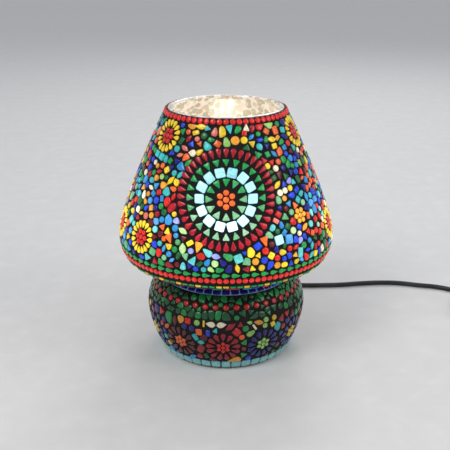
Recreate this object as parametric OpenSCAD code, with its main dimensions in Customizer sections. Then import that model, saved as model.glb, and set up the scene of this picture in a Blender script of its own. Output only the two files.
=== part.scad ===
// Mosaic glass table lamp: a one-piece blown glass body (wide shade over a round bowl) covered with
// small glass pieces set in dark grout, a lamp holder on a stem inside, a bulb, and a mains cord
// with an inline rocker switch and a two-pin plug.
// Millimetres, +Z up, the origin is the centre of the foot on the table. The front faces -Y.

/* [Body] */
// Overall height of the glass body
lamp_h = 235; // [225:1:250]
// Thickness of the mosaic layer, pieces and grout together
mosaic_t = 2.6; // [2.2:0.1:3.2]
// Thickness of the blown glass wall
glass_t = 2.8; // [2.2:0.1:3.4]

/* [Mosaic] */
// Pieces round the top rim
rim_count = 62; // [40:1:70]
// Green drops round the widest line of the shade
drop_count = 75; // [50:1:78]
// Red beads under the green drops
bead_count = 114; // [80:1:116]
// Blue squares round the bowl shoulder
blue_count = 46; // [30:1:48]
// Red beads round the bowl
bowl_bead_count = 46; // [30:1:48]
// Pale squares round the foot
foot_count = 43; // [30:1:44]

/* [Lamp holder] */
// Outside radius of the threaded stem tube
stem_r = 4.9; // [4.5:0.1:5.1]
// Radius of the bulb glass at its widest
bulb_r = 30; // [26:0.5:32]

/* [Cord] */
// Diameter of the round mains cord
cord_d = 5; // [4.5:0.1:5.2]

/* [Hidden] */
$fn = 64;
steps = 12;
k = lamp_h / 235;

// ---- outside profile: five curves from the mouth down to the foot, as [radius, height] ----
shade_side = [[54.7, 235], [70.9, 201.6], [100.9, 136], [100.9, 117]] * k;
shade_turn = [[100.9, 117], [100.9, 104.9], [96.9, 91.6], [82, 92]] * k;
shade_under = [[82, 92], [66, 91], [52, 91.5], [52, 86.5]] * k;
bowl_top = [[52, 86.5], [52, 82], [75.9, 72], [75.9, 46]] * k;
bowl_low = [[75.9, 46], [75.9, 30], [67, 10], [61.5, 0]] * k;

function bez(c, t) = pow(1 - t, 3) * c[0] + 3 * pow(1 - t, 2) * t * c[1]
                     + 3 * (1 - t) * t * t * c[2] + pow(t, 3) * c[3];
function bez_dir(c, t) = pow(1 - t, 2) * (c[1] - c[0]) + 2 * (1 - t) * t * (c[2] - c[1])
                         + t * t * (c[3] - c[2]);
function out_normal(d) = [-d[1], d[0]] / norm(d);
// a point of the wall, moved into the wall by depth
function skin(c, t, depth) = bez(c, t) - depth * out_normal(bez_dir(c, t));
function skin_run(c, depth, last = steps - 1) = [for (i = [0 : last]) skin(c, i / steps, depth)];
// the same layer where it is cut flat at the mouth
function mouth(depth) = let (d = bez_dir(shade_side, 0), n = out_normal(d))
    [shade_side[0][0] - depth / n[0], shade_side[0][1]];
function flip(v) = [for (i = [len(v) - 1 : -1 : 0]) v[i]];
function run_length(c, i) = i == 0 ? 0
    : run_length(c, i - 1) + norm(bez(c, i / 24) - bez(c, (i - 1) / 24));
function length_table(c) = [for (i = [0 : 24]) [run_length(c, i), i / 24]];
side_table = length_table(shade_side);
turn_table = length_table(shade_turn);
top_table = length_table(bowl_top);
low_table = length_table(bowl_low);
function height_table(c) = [for (i = [24 : -1 : 0]) [bez(c, i / 24)[1], i / 24]];
function t_at_height(c, z) = lookup(z, height_table(c));

// ---- placing a flat piece on the wall: +X round the lamp, +Y up the wall, +Z outwards ----
piece_t = mosaic_t - 1.05;
grout_depth = mosaic_t - 1;
module on_wall(c, t, az) {
    p = skin(c, t, piece_t);
    n = out_normal(bez_dir(c, t));
    rotate([0, 0, az]) translate([0, -p[0], p[1]]) rotate([atan2(n[0], n[1]), 0, 0]) children();
}
// u mm to the right and v mm up from the point at arc length s and azimuth az of one curve
module near(c, table, s, az, u, v) {
    t = lookup(s - v, table);
    on_wall(c, t, az + u / bez(c, t)[0] * 180 / PI) children();
}
// count copies in a circle of radius r round that point, +Y pointing away from the middle
module wreath(c, table, s, az, r, count, first = 0) {
    for (i = [0 : count - 1]) {
        a = first + i * 360 / count;
        near(c, table, s, az, r * cos(a), r * sin(a)) rotate([0, 0, a - 90]) children();
    }
}
module ring_row(c, t, count, first = 0) {
    for (i = [0 : count - 1]) on_wall(c, t, first + i * 360 / count) children();
}
function drop_points(w, l) = concat(
    [for (i = [0 : 6]) let (a = -20 + i * 220 / 6) [w / 2 * cos(a), l / 2 - w / 2 + w / 2 * sin(a)]],
    [[0, -l / 2]]);
module bead(r) { cylinder(r = r, h = piece_t, $fn = 24); }
module square_piece(w, l) { translate([-w / 2, -l / 2, 0]) cube([w, l, piece_t]); }
module triangle_piece(w, l) {
    linear_extrude(height = piece_t) polygon([[0, -l / 2], [w / 2, l / 2], [-w / 2, l / 2]]);
}
module drop_piece(w, l) { linear_extrude(height = piece_t) polygon(drop_points(w, l)); }

// ---- where the repeated figures sit ----
mandala_az = [0, 120, -120];
mandala_s = 68.6 * k;
sun_high_az = [-53, 71, 187];
sun_high_s = 20.5 * k;
sun_low_az = [-49.5, -77, 75, 165, 193];
sun_low_s = 111 * k;
flower_az = [-35, -2, 28, 57.5, 91.5, 125.5, 160, 200, 231, 262.5, 294];
flower_t = t_at_height(bowl_low, 28 * k);
flower_s = lookup(flower_t, [for (r = low_table) [r[1], r[0]]]);

// ---- cord exit through the back of the bowl ----
exit_t = 0.54;
exit_p = bez(bowl_low, exit_t);
exit_n = out_normal(bez_dir(bowl_low, exit_t));
module at_exit() {
    translate([0, exit_p[0], exit_p[1]]) rotate([-atan2(exit_n[0], exit_n[1]), 0, 0]) children();
}

// ---- glass body, blown in one piece and divided at its turns, and grout ----
floor_top = 11;
depth_in = mosaic_t + glass_t;
glass_colour = [0.93, 0.88, 0.72, 0.75];
// the glass wall along one curve, up to where the next one starts
module glass_wall(c, next) {
    outer = concat(skin_run(c, mosaic_t), [skin(next, 0, mosaic_t)]);
    inner = flip(concat(skin_run(c, depth_in), [skin(next, 0, depth_in)]));
    color(glass_colour) rotate_extrude() polygon(concat(outer, inner));
}
module glass_shade() {
    outer = concat([mouth(mosaic_t)], skin_run(shade_side, mosaic_t), [skin(shade_turn, 0, mosaic_t)]);
    inner = flip(concat([mouth(depth_in)], skin_run(shade_side, depth_in),
                        [skin(shade_turn, 0, depth_in)]));
    color(glass_colour) rotate_extrude() polygon(concat(outer, inner));
}
module glass_edge() { glass_wall(shade_turn, shade_under); }
module glass_under() { glass_wall(shade_under, bowl_top); }
module glass_bowl_top() { glass_wall(bowl_top, bowl_low); }
module glass_bowl() {
    color(glass_colour)
    difference() {
        rotate_extrude() polygon(concat(skin_run(bowl_low, mosaic_t, 9),
                                        flip(skin_run(bowl_low, depth_in, 9))));
        at_exit() translate([0, 0, -16]) cylinder(r = 5.5, h = 30);
    }
}
module glass_foot() {
    outer = concat([for (i = [9 : 11]) skin(bowl_low, i / steps, mosaic_t)],
                   [skin(bowl_low, 0.97, mosaic_t)]);
    foot = [[58.4, 1.5], [47, 1.5], [45, 3.2], [42.5, 7], [40, 8], [5.2, 8],
            [5.2, floor_top], [39, floor_top], [43, 9.8], [47.5, 6.2], [52, 5.4], [56, 6.9]];
    color(glass_colour)
    rotate_extrude() polygon(concat(outer, foot, [skin(bowl_low, 9 / steps, depth_in)]));
}
module shade_grout() {
    outer = concat([mouth(grout_depth)], skin_run(shade_side, grout_depth),
                   skin_run(shade_turn, grout_depth), skin_run(shade_under, grout_depth));
    inner = flip(concat([mouth(mosaic_t - 0.03)], skin_run(shade_side, mosaic_t - 0.03),
                        skin_run(shade_turn, mosaic_t - 0.03),
                        skin_run(shade_under, mosaic_t - 0.03)));
    color([0.1, 0.1, 0.11])
    rotate_extrude() polygon(concat(outer, inner));
}
module bowl_grout() {
    outer = concat(skin_run(bowl_top, grout_depth), skin_run(bowl_low, grout_depth),
                   [skin(bowl_low, 0.97, grout_depth)]);
    inner = flip(concat(skin_run(bowl_top, mosaic_t - 0.03), skin_run(bowl_low, mosaic_t - 0.03),
                        [skin(bowl_low, 0.97, mosaic_t - 0.03)]));
    color([0.1, 0.1, 0.11])
    difference() {
        rotate_extrude() polygon(concat(outer, inner));
        at_exit() translate([0, 0, -8]) cylinder(r = 8.4, h = 16);
    }
}

// ---- rows and figures of the mosaic ----
module top_rim_beads() {
    color([0.8, 0.12, 0.08])
    ring_row(shade_side, lookup(3.3 * k, side_table), rim_count) bead(2.6);
}
module mandala_orange_beads() {
    color([0.95, 0.45, 0.1])
    for (az = mandala_az) {
        near(shade_side, side_table, mandala_s, az, 0, 0) bead(2.7);
        wreath(shade_side, side_table, mandala_s, az, 5.9, 6, 90) bead(2.6);
    }
}
module mandala_inner_triangles() {
    color([0.1, 0.55, 0.25])
    for (az = mandala_az)
        wreath(shade_side, side_table, mandala_s, az, 13.9, 12) triangle_piece(7, 7.4);
}
module mandala_squares() {
    color([0.85, 0.93, 0.9])
    for (az = mandala_az)
        wreath(shade_side, side_table, mandala_s, az, 22.9, 14) square_piece(8, 8.2);
}
module mandala_outer_triangles() {
    color([0.15, 0.6, 0.3])
    for (az = mandala_az)
        wreath(shade_side, side_table, mandala_s, az, 30.8, 24) triangle_piece(6.6, 6.4);
}
module mandala_red_drops() {
    color([0.7, 0.05, 0.12])
    for (az = mandala_az)
        wreath(shade_side, side_table, mandala_s, az, 39.2, 40) drop_piece(4.6, 8.6);
}
module sunflower_petals() {
    color([0.95, 0.8, 0.15])
    for (az = sun_high_az)
        wreath(shade_side, side_table, sun_high_s, az, 11.4, 16) drop_piece(4, 6.6);
    color([0.95, 0.8, 0.15])
    for (az = sun_low_az)
        wreath(shade_side, side_table, sun_low_s, az, 11.4, 16) drop_piece(4, 6.6);
}
module sunflower_beads() {
    color([0.8, 0.1, 0.08])
    for (az = sun_high_az) {
        near(shade_side, side_table, sun_high_s, az, 0, 0) bead(2.4);
        wreath(shade_side, side_table, sun_high_s, az, 5.1, 6) bead(2.4);
    }
    color([0.8, 0.1, 0.08])
    for (az = sun_low_az) {
        near(shade_side, side_table, sun_low_s, az, 0, 0) bead(2.4);
        wreath(shade_side, side_table, sun_low_s, az, 5.1, 6) bead(2.4);
    }
}
module shade_green_drops() {
    color([0.1, 0.6, 0.25])
    ring_row(shade_turn, t_at_height(shade_turn, 110.9 * k), drop_count) rotate([0, 0, 90])
        drop_piece(4.4, 7.4);
}
module shade_red_beads() {
    color([0.85, 0.2, 0.1])
    ring_row(shade_turn, t_at_height(shade_turn, 105.3 * k), bead_count) bead(2.5);
}
module shade_edge_pieces() {
    color([0.55, 0.75, 0.2])
    ring_row(shade_turn, t_at_height(shade_turn, 98.2 * k), 100) square_piece(4.8, 3.6);
}
module bowl_blue_squares() {
    color([0.1, 0.15, 0.6])
    ring_row(bowl_top, t_at_height(bowl_top, 78 * k), blue_count) square_piece(7, 5.4);
}
module bowl_red_beads() {
    color([0.75, 0.1, 0.08])
    ring_row(bowl_top, t_at_height(bowl_top, 67 * k), bowl_bead_count) bead(2.8);
}
module bowl_flower_petals() {
    color([0.6, 0.08, 0.1])
    for (az = flower_az)
        wreath(bowl_low, low_table, flower_s, az, 11.9, 13, 90) drop_piece(4.8, 8.4);
}
module bowl_flower_beads() {
    color([0.95, 0.5, 0.1])
    for (az = flower_az) {
        near(bowl_low, low_table, flower_s, az, 0, 0) bead(2.1);
        wreath(bowl_low, low_table, flower_s, az, 4.7, 6, 90) bead(2.1);
    }
}
module foot_squares() {
    color([0.55, 0.85, 0.85])
    ring_row(bowl_low, t_at_height(bowl_low, 6 * k), foot_count) square_piece(8.2, 7.6);
}

// ---- foot and stem hardware ----
module tube(r_out, r_in, z0, z1) {
    translate([0, 0, z0]) difference() {
        cylinder(r = r_out, h = z1 - z0);
        translate([0, 0, -1]) cylinder(r = r_in, h = z1 - z0 + 2);
    }
}
module hex_nut(z0, z1) {
    translate([0, 0, z0]) difference() {
        cylinder(r = 8.08, h = z1 - z0, $fn = 6);
        translate([0, 0, -1]) cylinder(r = stem_r + 0.05, h = z1 - z0 + 2);
    }
}
module felt_ring() { color([0.15, 0.15, 0.16]) tube(58, 47.5, 0, 1.5); }
module stem_tube() { color([0.8, 0.8, 0.78]) tube(stem_r, 3.4, 2.6, 40); }
module stem_nuts() {
    color([0.8, 0.68, 0.35]) {
        hex_nut(2.9, 6);
        hex_nut(13, 16);
        hex_nut(33, 36);
    }
}
module steel_washers() {
    color([0.7, 0.7, 0.72]) {
        tube(9.5, 5.3, 6, 7);
        tube(11, 5.3, 12, 13);
    }
}
module rubber_washers() {
    color([0.12, 0.12, 0.12]) {
        tube(10, 5.3, 7, 8);
        tube(11.5, 5.3, floor_top, 12);
    }
}
module spacer_tube() { color([0.8, 0.65, 0.3]) tube(6.5, 5.1, 16, 33); }

// ---- lamp holder ----
module holder_cap() {
    color([0.1, 0.1, 0.1])
    difference() {
        union() {
            rotate_extrude() polygon([[5, 36], [14, 36], [17.6, 37.6], [19.2, 40.4], [19.5, 44],
                                      [19.5, 47], [17.3, 47], [17.3, 41.4], [15.6, 39.6],
                                      [13, 39], [5, 39]]);
            translate([0, 17.8, 42.5]) rotate([-90, 0, 0]) cylinder(r = 4.2, h = 6.2);
        }
        translate([0, 15, 42.5]) rotate([-90, 0, 0]) cylinder(r = cord_d / 2 + 0.2, h = 12);
    }
}
module holder_sleeve() {
    color([0.1, 0.1, 0.1])
    rotate_extrude() polygon([[17.3, 47], [19.5, 47], [19.5, 49], [18.9, 49.8], [18.9, 72],
                              [20.6, 73], [20.6, 75], [19.4, 76], [18.6, 79], [15.5, 79],
                              [15.5, 77], [17.3, 77]]);
}
module holder_insert() {
    color([0.93, 0.92, 0.88])
    difference() {
        translate([0, 0, 47.2]) cylinder(r = 17, h = 5.8);
        for (x = [-8, 8]) translate([x, 0, 46]) cylinder(r = 1.7, h = 9);
    }
}
module thread_shell() { color([0.85, 0.7, 0.35]) tube(14.6, 13.9, 53, 76); }
module centre_contact() {
    color([0.85, 0.7, 0.35])
    translate([0, 2, 0]) rotate([90, 0, 0]) linear_extrude(height = 4)
        polygon([[-11, 53.1], [-6, 53.1], [-2.5, 55.2], [2.5, 55.2], [2.5, 55.8], [-2.9, 55.8],
                 [-6.3, 53.7], [-11, 53.7]]);
}
module side_contact() {
    color([0.85, 0.7, 0.35])
    translate([14.75, -2, 53.1]) cube([0.7, 4, 9]);
}
module terminal_screws() {
    color([0.75, 0.75, 0.75])
    for (x = [-8, 8]) translate([x, 0, 44.9]) {
        cylinder(r = 2.8, h = 2.2);
        translate([0, 0, 2.2]) cylinder(r = 1.5, h = 4);
    }
}

// ---- bulb, its own body, lifted out through the mouth ----
bulb_low = [[11.9, 84], [12.4, 100], [bulb_r, 105], [bulb_r, 133]];
bulb_high = [[bulb_r, 133], [bulb_r, 150], [17, 163], [0, 163]];
module bulb_glass() {
    outer = concat([[11.9, 76]], [for (i = [0 : 11]) bez(bulb_low, i / 12)],
                   [for (i = [0 : 11]) bez(bulb_high, i / 12)], [[0, 163]]);
    inner = concat([[0, 162.2]], flip([for (i = [0 : 11]) skin(bulb_high, i / 12, -0.8)]),
                   flip([for (i = [0 : 11]) skin(bulb_low, i / 12, -0.8)]), [[11.1, 76]]);
    color([1, 0.95, 0.8, 0.5])
    rotate_extrude() polygon(concat(outer, inner));
}
module bulb_cap() {
    crests = [for (i = [0 : 4]) for (q = [[12.6, 0], [13.2, 1.2], [13.2, 1.9], [12.6, 3.1]])
              [q[0], 62 + i * 3.6 + q[1]]];
    color([0.75, 0.75, 0.73])
    rotate_extrude() polygon(concat([[9, 60.5], [11.6, 60.5]], crests,
                                    [[12.6, 82], [12, 82], [12, 61.1], [9, 61.1]]));
}
module bulb_insulator() {
    color([0.05, 0.05, 0.06])
    rotate_extrude() polygon([[0, 57], [5, 57], [10.6, 60.45], [0, 60.45]]);
}
module bulb_contact() {
    color([0.75, 0.75, 0.7])
    rotate_extrude() polygon([[0, 56], [2.6, 56], [4.2, 56.5], [4.4, 56.95], [0, 56.95]]);
}
module bulb_mount() {
    color([0.9, 0.92, 0.92, 0.6])
    union() {
        rotate_extrude() polygon([[0, 77], [7, 77], [4.5, 84], [3.6, 96], [0, 99]]);
        translate([0, 0, 97]) cylinder(r = 1.1, h = 45);
        for (a = [45 : 90 : 315]) rotate([0, 0, a]) translate([0, 0, 141]) rotate([0, 90, 0])
            cylinder(r = 0.45, h = 9.2);
    }
}
module bulb_filaments() {
    color([1, 0.8, 0.3])
    for (a = [45 : 90 : 315]) rotate([0, 0, a]) translate([8.6, 0, 102]) cylinder(r = 1, h = 38);
}

// ---- cord, in the order it runs ----
function curve_point(a, b, c, d, t) = 0.5 * (2 * b + (c - a) * t + (2 * a - 5 * b + 4 * c - d) * t * t
                                             + (3 * b - a - 3 * c + d) * t * t * t);
function smooth(p, n) = let (e = len(p) - 1) concat(
    [for (i = [0 : e - 1]) for (j = [0 : n - 1])
        curve_point(p[max(i - 1, 0)], p[i], p[i + 1], p[min(i + 2, e)], j / n)], [p[e]]);
function heading(p, i) = let (e = len(p) - 1) p[min(i + 1, e)] - p[max(i - 1, 0)];
module swept(p, r) {
    m = 10;
    n = len(p);
    verts = [for (i = [0 : n - 1]) let (h = heading(p, i), t = h / norm(h), q = cross(t, [0, 0, 1]),
             a = q / norm(q), b = cross(a, t)) for (j = [0 : m - 1])
             p[i] + r * (cos(j * 360 / m) * a + sin(j * 360 / m) * b)];
    sides = [for (i = [0 : n - 2]) for (j = [0 : m - 1]) for (f = [0, 1])
             let (a = i * m + j, b = i * m + (j + 1) % m) f == 0 ? [a, b, b + m] : [a, b + m, a + m]];
    caps = [[for (j = [m - 1 : -1 : 0]) j], [for (j = [0 : m - 1]) (n - 1) * m + j]];
    polyhedron(points = verts, faces = concat(sides, caps));
}
module cord_grommet() {
    color([0.08, 0.08, 0.08])
    at_exit() rotate_extrude()
        polygon([[2.75, -8.4], [7.4, -8.4], [7.4, -6.2], [5.35, -6.2], [5.35, -2.4], [7.9, -2.4],
                 [7.9, 0.2], [7.2, 0.9], [5.6, 0.9], [5.6, 1.2], [2.75, 1.2]]);
}
module strain_relief() {
    color([0.08, 0.08, 0.08])
    at_exit() difference() {
        translate([0, 0, 1.25]) cylinder(r1 = 5.4, r2 = 3.5, h = 24);
        translate([0, 0, 0]) cylinder(r = 2.7, h = 30);
        for (i = [0 : 4]) translate([0, 0, 5 + 4 * i]) difference() {
            cylinder(r = 7, h = 1.4);
            translate([0, 0, -1]) cylinder(r = 3.25, h = 4);
        }
    }
}
exit_end = [0, exit_p[0] + 25.5 * exit_n[0], exit_p[1] + 25.5 * exit_n[1]];
module inner_cord() {
    color([0.06, 0.06, 0.06]) {
        at_exit() translate([0, 0, -9]) cylinder(r = cord_d / 2, h = 34.4);
        swept(smooth([[0, exit_p[0] - 9.05 * exit_n[0], exit_p[1] - 9.05 * exit_n[1]], [0, 52, 25.5],
                      [0, 43, 30], [0, 35, 37], [0, 29, 41.3], [0, 22, 42.5], [0, 16.5, 42.5]], 3),
              cord_d / 2);
    }
}
cord_z = cord_d / 2 + 0.05;
module cord_lead() {
    color([0.06, 0.06, 0.06])
    swept(smooth([exit_end, [0.6, 101, 6.2], [4, 110, 3.4], [11, 118, cord_z], [24, 123.4, cord_z],
                  [44, 124, cord_z], [66, 122, cord_z], [88, 121.4, cord_z], [110, 121.6, cord_z],
                  [132, 123, cord_z], [154, 126.4, cord_z], [176, 128.6, cord_z],
                  [198, 127.6, cord_z], [220, 121.8, cord_z], [240, 116.8, cord_z],
                  [255, 109, cord_z], [265, 97, 3.4], [269.4, 87, 5.8], [270, 78, 7],
                  [270, 74, 7]], 2), cord_d / 2);
}
module cord_mid() {
    color([0.06, 0.06, 0.06])
    swept(smooth([[270, 26, 7], [270, 21, 7], [269.8, 9, 4.4], [269, -4, 2.9], [267.6, -16, 3],
                  [267.1, -30, 3.4]], 2), cord_d / 2);
}
coil_at = [305, -30];
module cord_coil() {
    color([0.06, 0.06, 0.06])
    translate([coil_at[0], coil_at[1], 0]) rotate_extrude() union() {
        for (r = [22.5, 27.5, 32.5]) for (z = [3.55, 8.55]) translate([r, z]) circle(r = 2.52);
        translate([22.5, 3.55]) square([10, 5]);
    }
}
module cord_tie() {
    color([0.1, 0.1, 0.1])
    translate([coil_at[0] - 4, coil_at[1], 0]) difference() {
        translate([0, -36.2, 0.1]) cube([8, 17.4, 12.1]);
        translate([-1, -35.4, 0.9]) cube([10, 15.8, 10.5]);
    }
}
module cord_end() {
    color([0.06, 0.06, 0.06])
    swept(smooth([[342.9, -30, 8.3], [342.8, -20, 7], [341.6, -6, 5.4], [338.6, 8, 5.6],
                  [336, 20, 6.6], [335, 30, 7], [335, 48, 7]], 2), cord_d / 2);
}

// ---- inline rocker switch ----
switch_at = [270, 50];
pivot_z = 13;
module stadium(r, half, z0, z1) {
    translate([switch_at[0], switch_at[1], z0]) {
        for (s = [-1, 1]) translate([0, s * half, 0]) cylinder(r = r, h = z1 - z0);
        translate([-r, -half, 0]) cube([2 * r, 2 * half, z1 - z0]);
    }
}
module cord_holes() {
    for (y = [8, 68]) translate([switch_at[0], y + 22, 7]) rotate([90, 0, 0])
        cylinder(r = cord_d / 2 + 0.06, h = 20);
}
module switch_base() {
    color([0.08, 0.08, 0.09])
    difference() {
        stadium(13, 16, 0.05, 6.95);
        stadium(11, 16, 2.6, 8);
        cord_holes();
        for (y = [-20, 20]) translate([switch_at[0] + 6, switch_at[1] + y * 0.9, -1]) {
            cylinder(r = 1.5, h = 5);
            cylinder(r = 2.9, h = 2.4);
        }
    }
}
module switch_cover() {
    color([0.08, 0.08, 0.09])
    difference() {
        union() {
            difference() {
                union() {
                    stadium(13, 16, 7, 14.6);
                    stadium(11.8, 16, 14.6, 16);
                }
                stadium(11, 16, 6, 14);
            }
            for (s = [-1, 1]) translate([switch_at[0] + s * 7.2 - 1.5, switch_at[1] - 3.2, 10.8])
                cube([3, 6.4, 4]);
            for (y = [-20, 20]) translate([switch_at[0] + 6, switch_at[1] + y * 0.9, 2.7])
                cylinder(r = 2.7, h = 12);
        }
        translate([switch_at[0] - 5.6, switch_at[1] - 9.5, 8]) cube([11.2, 19, 10]);
        translate([switch_at[0] - 8.6, switch_at[1], pivot_z]) rotate([0, 90, 0])
            cylinder(r = 1.25, h = 17.2);
        for (y = [-20, 20]) translate([switch_at[0] + 6, switch_at[1] + y * 0.9, 2])
            cylinder(r = 1.25, h = 10);
        cord_holes();
    }
}
module switch_screws() {
    color([0.7, 0.7, 0.72])
    for (y = [-20, 20]) translate([switch_at[0] + 6, switch_at[1] + y * 0.9, 0.3]) difference() {
        union() {
            cylinder(r = 2.6, h = 1.05);
            cylinder(r = 1.2, h = 10);
        }
        translate([-3, -0.35, -1]) cube([6, 0.7, 1.5]);
    }
}
module switch_contacts() {
    color([0.85, 0.7, 0.35])
    for (y = [-12, 6]) translate([switch_at[0] - 8, switch_at[1] + y, 2.7]) difference() {
        cube([5, 8, 4.2]);
        translate([1, -1, 1]) cube([5, 10, 2.2]);
    }
}
module rocker() {
    color([0.75, 0.75, 0.76])
    translate([switch_at[0], switch_at[1], pivot_z]) rotate([8, 0, 0]) union() {
        translate([-5.25, 0, 0]) rotate([90, 0, 90]) linear_extrude(height = 10.5)
            polygon([[-8.5, -1.6], [8.5, -1.6], [8.5, 4.3], [7.9, 4.6], [4, 3.8], [0, 3.5],
                     [-4, 3.8], [-7.9, 4.6], [-8.5, 4.3]]);
        translate([-8.3, 0, 0]) rotate([0, 90, 0]) cylinder(r = 1.2, h = 16.6);
    }
}

// ---- two-pin plug ----
plug_x = 335;
module plug_body() {
    color([0.07, 0.07, 0.08])
    difference() {
        translate([plug_x, 0, 0.1]) linear_extrude(height = 13.8)
            polygon([[-5.5, 50], [5.5, 50], [10.5, 56], [14, 64], [16.6, 76], [17.2, 84.8],
                     [16, 86], [-16, 86], [-17.2, 84.8], [-16.6, 76], [-14, 64], [-10.5, 56]]);
        for (x = [-9.3, 9.3]) translate([plug_x + x, 76, 7]) rotate([-90, 0, 0])
            cylinder(r = 2.05, h = 12);
        for (z = [-1.4, 12.6]) translate([plug_x - 7, 58, z]) cube([14, 15, 2.8]);
    }
}
module plug_pins() {
    color([0.8, 0.8, 0.78])
    for (x = [-9.3, 9.3]) translate([plug_x + x, 77, 7]) rotate([-90, 0, 0]) {
        cylinder(r = 2, h = 27);
        translate([0, 0, 27]) cylinder(r1 = 2, r2 = 1.1, h = 1);
    }
}
module plug_relief() {
    color([0.07, 0.07, 0.08])
    translate([plug_x, 30, 7]) rotate([-90, 0, 0]) difference() {
        cylinder(r1 = 3.5, r2 = 4.8, h = 19.9);
        translate([0, 0, -1]) cylinder(r = 2.6, h = 22);
        for (i = [0 : 3]) translate([0, 0, 3 + 4 * i]) difference() {
            cylinder(r = 7, h = 1.4);
            translate([0, 0, -1]) cylinder(r = 3.15, h = 4);
        }
    }
}

glass_shade();
glass_edge();
glass_under();
glass_bowl_top();
glass_bowl();
glass_foot();
shade_grout();
bowl_grout();
top_rim_beads();
mandala_orange_beads();
mandala_inner_triangles();
mandala_squares();
mandala_outer_triangles();
mandala_red_drops();
sunflower_petals();
sunflower_beads();
shade_green_drops();
shade_red_beads();
shade_edge_pieces();
bowl_blue_squares();
bowl_red_beads();
bowl_flower_petals();
bowl_flower_beads();
foot_squares();
felt_ring();
stem_tube();
stem_nuts();
steel_washers();
rubber_washers();
spacer_tube();
holder_cap();
holder_sleeve();
holder_insert();
thread_shell();
centre_contact();
side_contact();
terminal_screws();
cord_grommet();
strain_relief();
inner_cord();
cord_lead();
cord_mid();
cord_coil();
cord_tie();
cord_end();
switch_base();
switch_cover();
switch_screws();
switch_contacts();
rocker();
plug_body();
plug_pins();
plug_relief();
bulb_glass();
bulb_cap();
bulb_insulator();
bulb_contact();
bulb_mount();
bulb_filaments();
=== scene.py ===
"""Looks of the mosaic glass table lamp.

The wall of the lamp is one curve from mouth to foot, turned round the Z axis. Every glass piece is
an outline in millimetres on that wall, at an arc length s down the curve and an azimuth round it,
0 at the front. Rows and round figures stand where the CAD model has them, and the loose pieces
between them are packed in here. Each piece is domed, bedded in dark grout and lit from inside.
"""

import math
import random

import bpy
import numpy as np
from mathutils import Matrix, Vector
from mathutils.kdtree import KDTree


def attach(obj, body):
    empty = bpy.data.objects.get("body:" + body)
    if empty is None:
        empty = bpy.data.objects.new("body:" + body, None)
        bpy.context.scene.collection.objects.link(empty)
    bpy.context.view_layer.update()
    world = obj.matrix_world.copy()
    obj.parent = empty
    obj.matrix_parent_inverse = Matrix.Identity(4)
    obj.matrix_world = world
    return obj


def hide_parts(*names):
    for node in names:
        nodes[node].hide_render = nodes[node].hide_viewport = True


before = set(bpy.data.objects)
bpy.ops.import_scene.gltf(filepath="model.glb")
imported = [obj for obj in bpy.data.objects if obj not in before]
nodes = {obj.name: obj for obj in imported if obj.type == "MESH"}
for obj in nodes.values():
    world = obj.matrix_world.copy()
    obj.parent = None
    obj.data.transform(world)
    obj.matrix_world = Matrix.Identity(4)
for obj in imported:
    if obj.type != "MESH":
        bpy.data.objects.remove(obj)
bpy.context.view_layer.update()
scene = bpy.context.scene
MM = 0.001
TAU = 2 * math.pi

# ---------------------------------------------------------------- camera
camera = bpy.data.objects.new("camera", bpy.data.cameras.new("camera"))
scene.collection.objects.link(camera)
camera.location = (-0.0009, -0.705, 0.3767)
camera.rotation_euler = (math.radians(70), 0, 0)
camera.data.lens = 63.13
camera.data.sensor_width = 36
scene.camera = camera
scene.view_settings.view_transform = "Standard"


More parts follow.
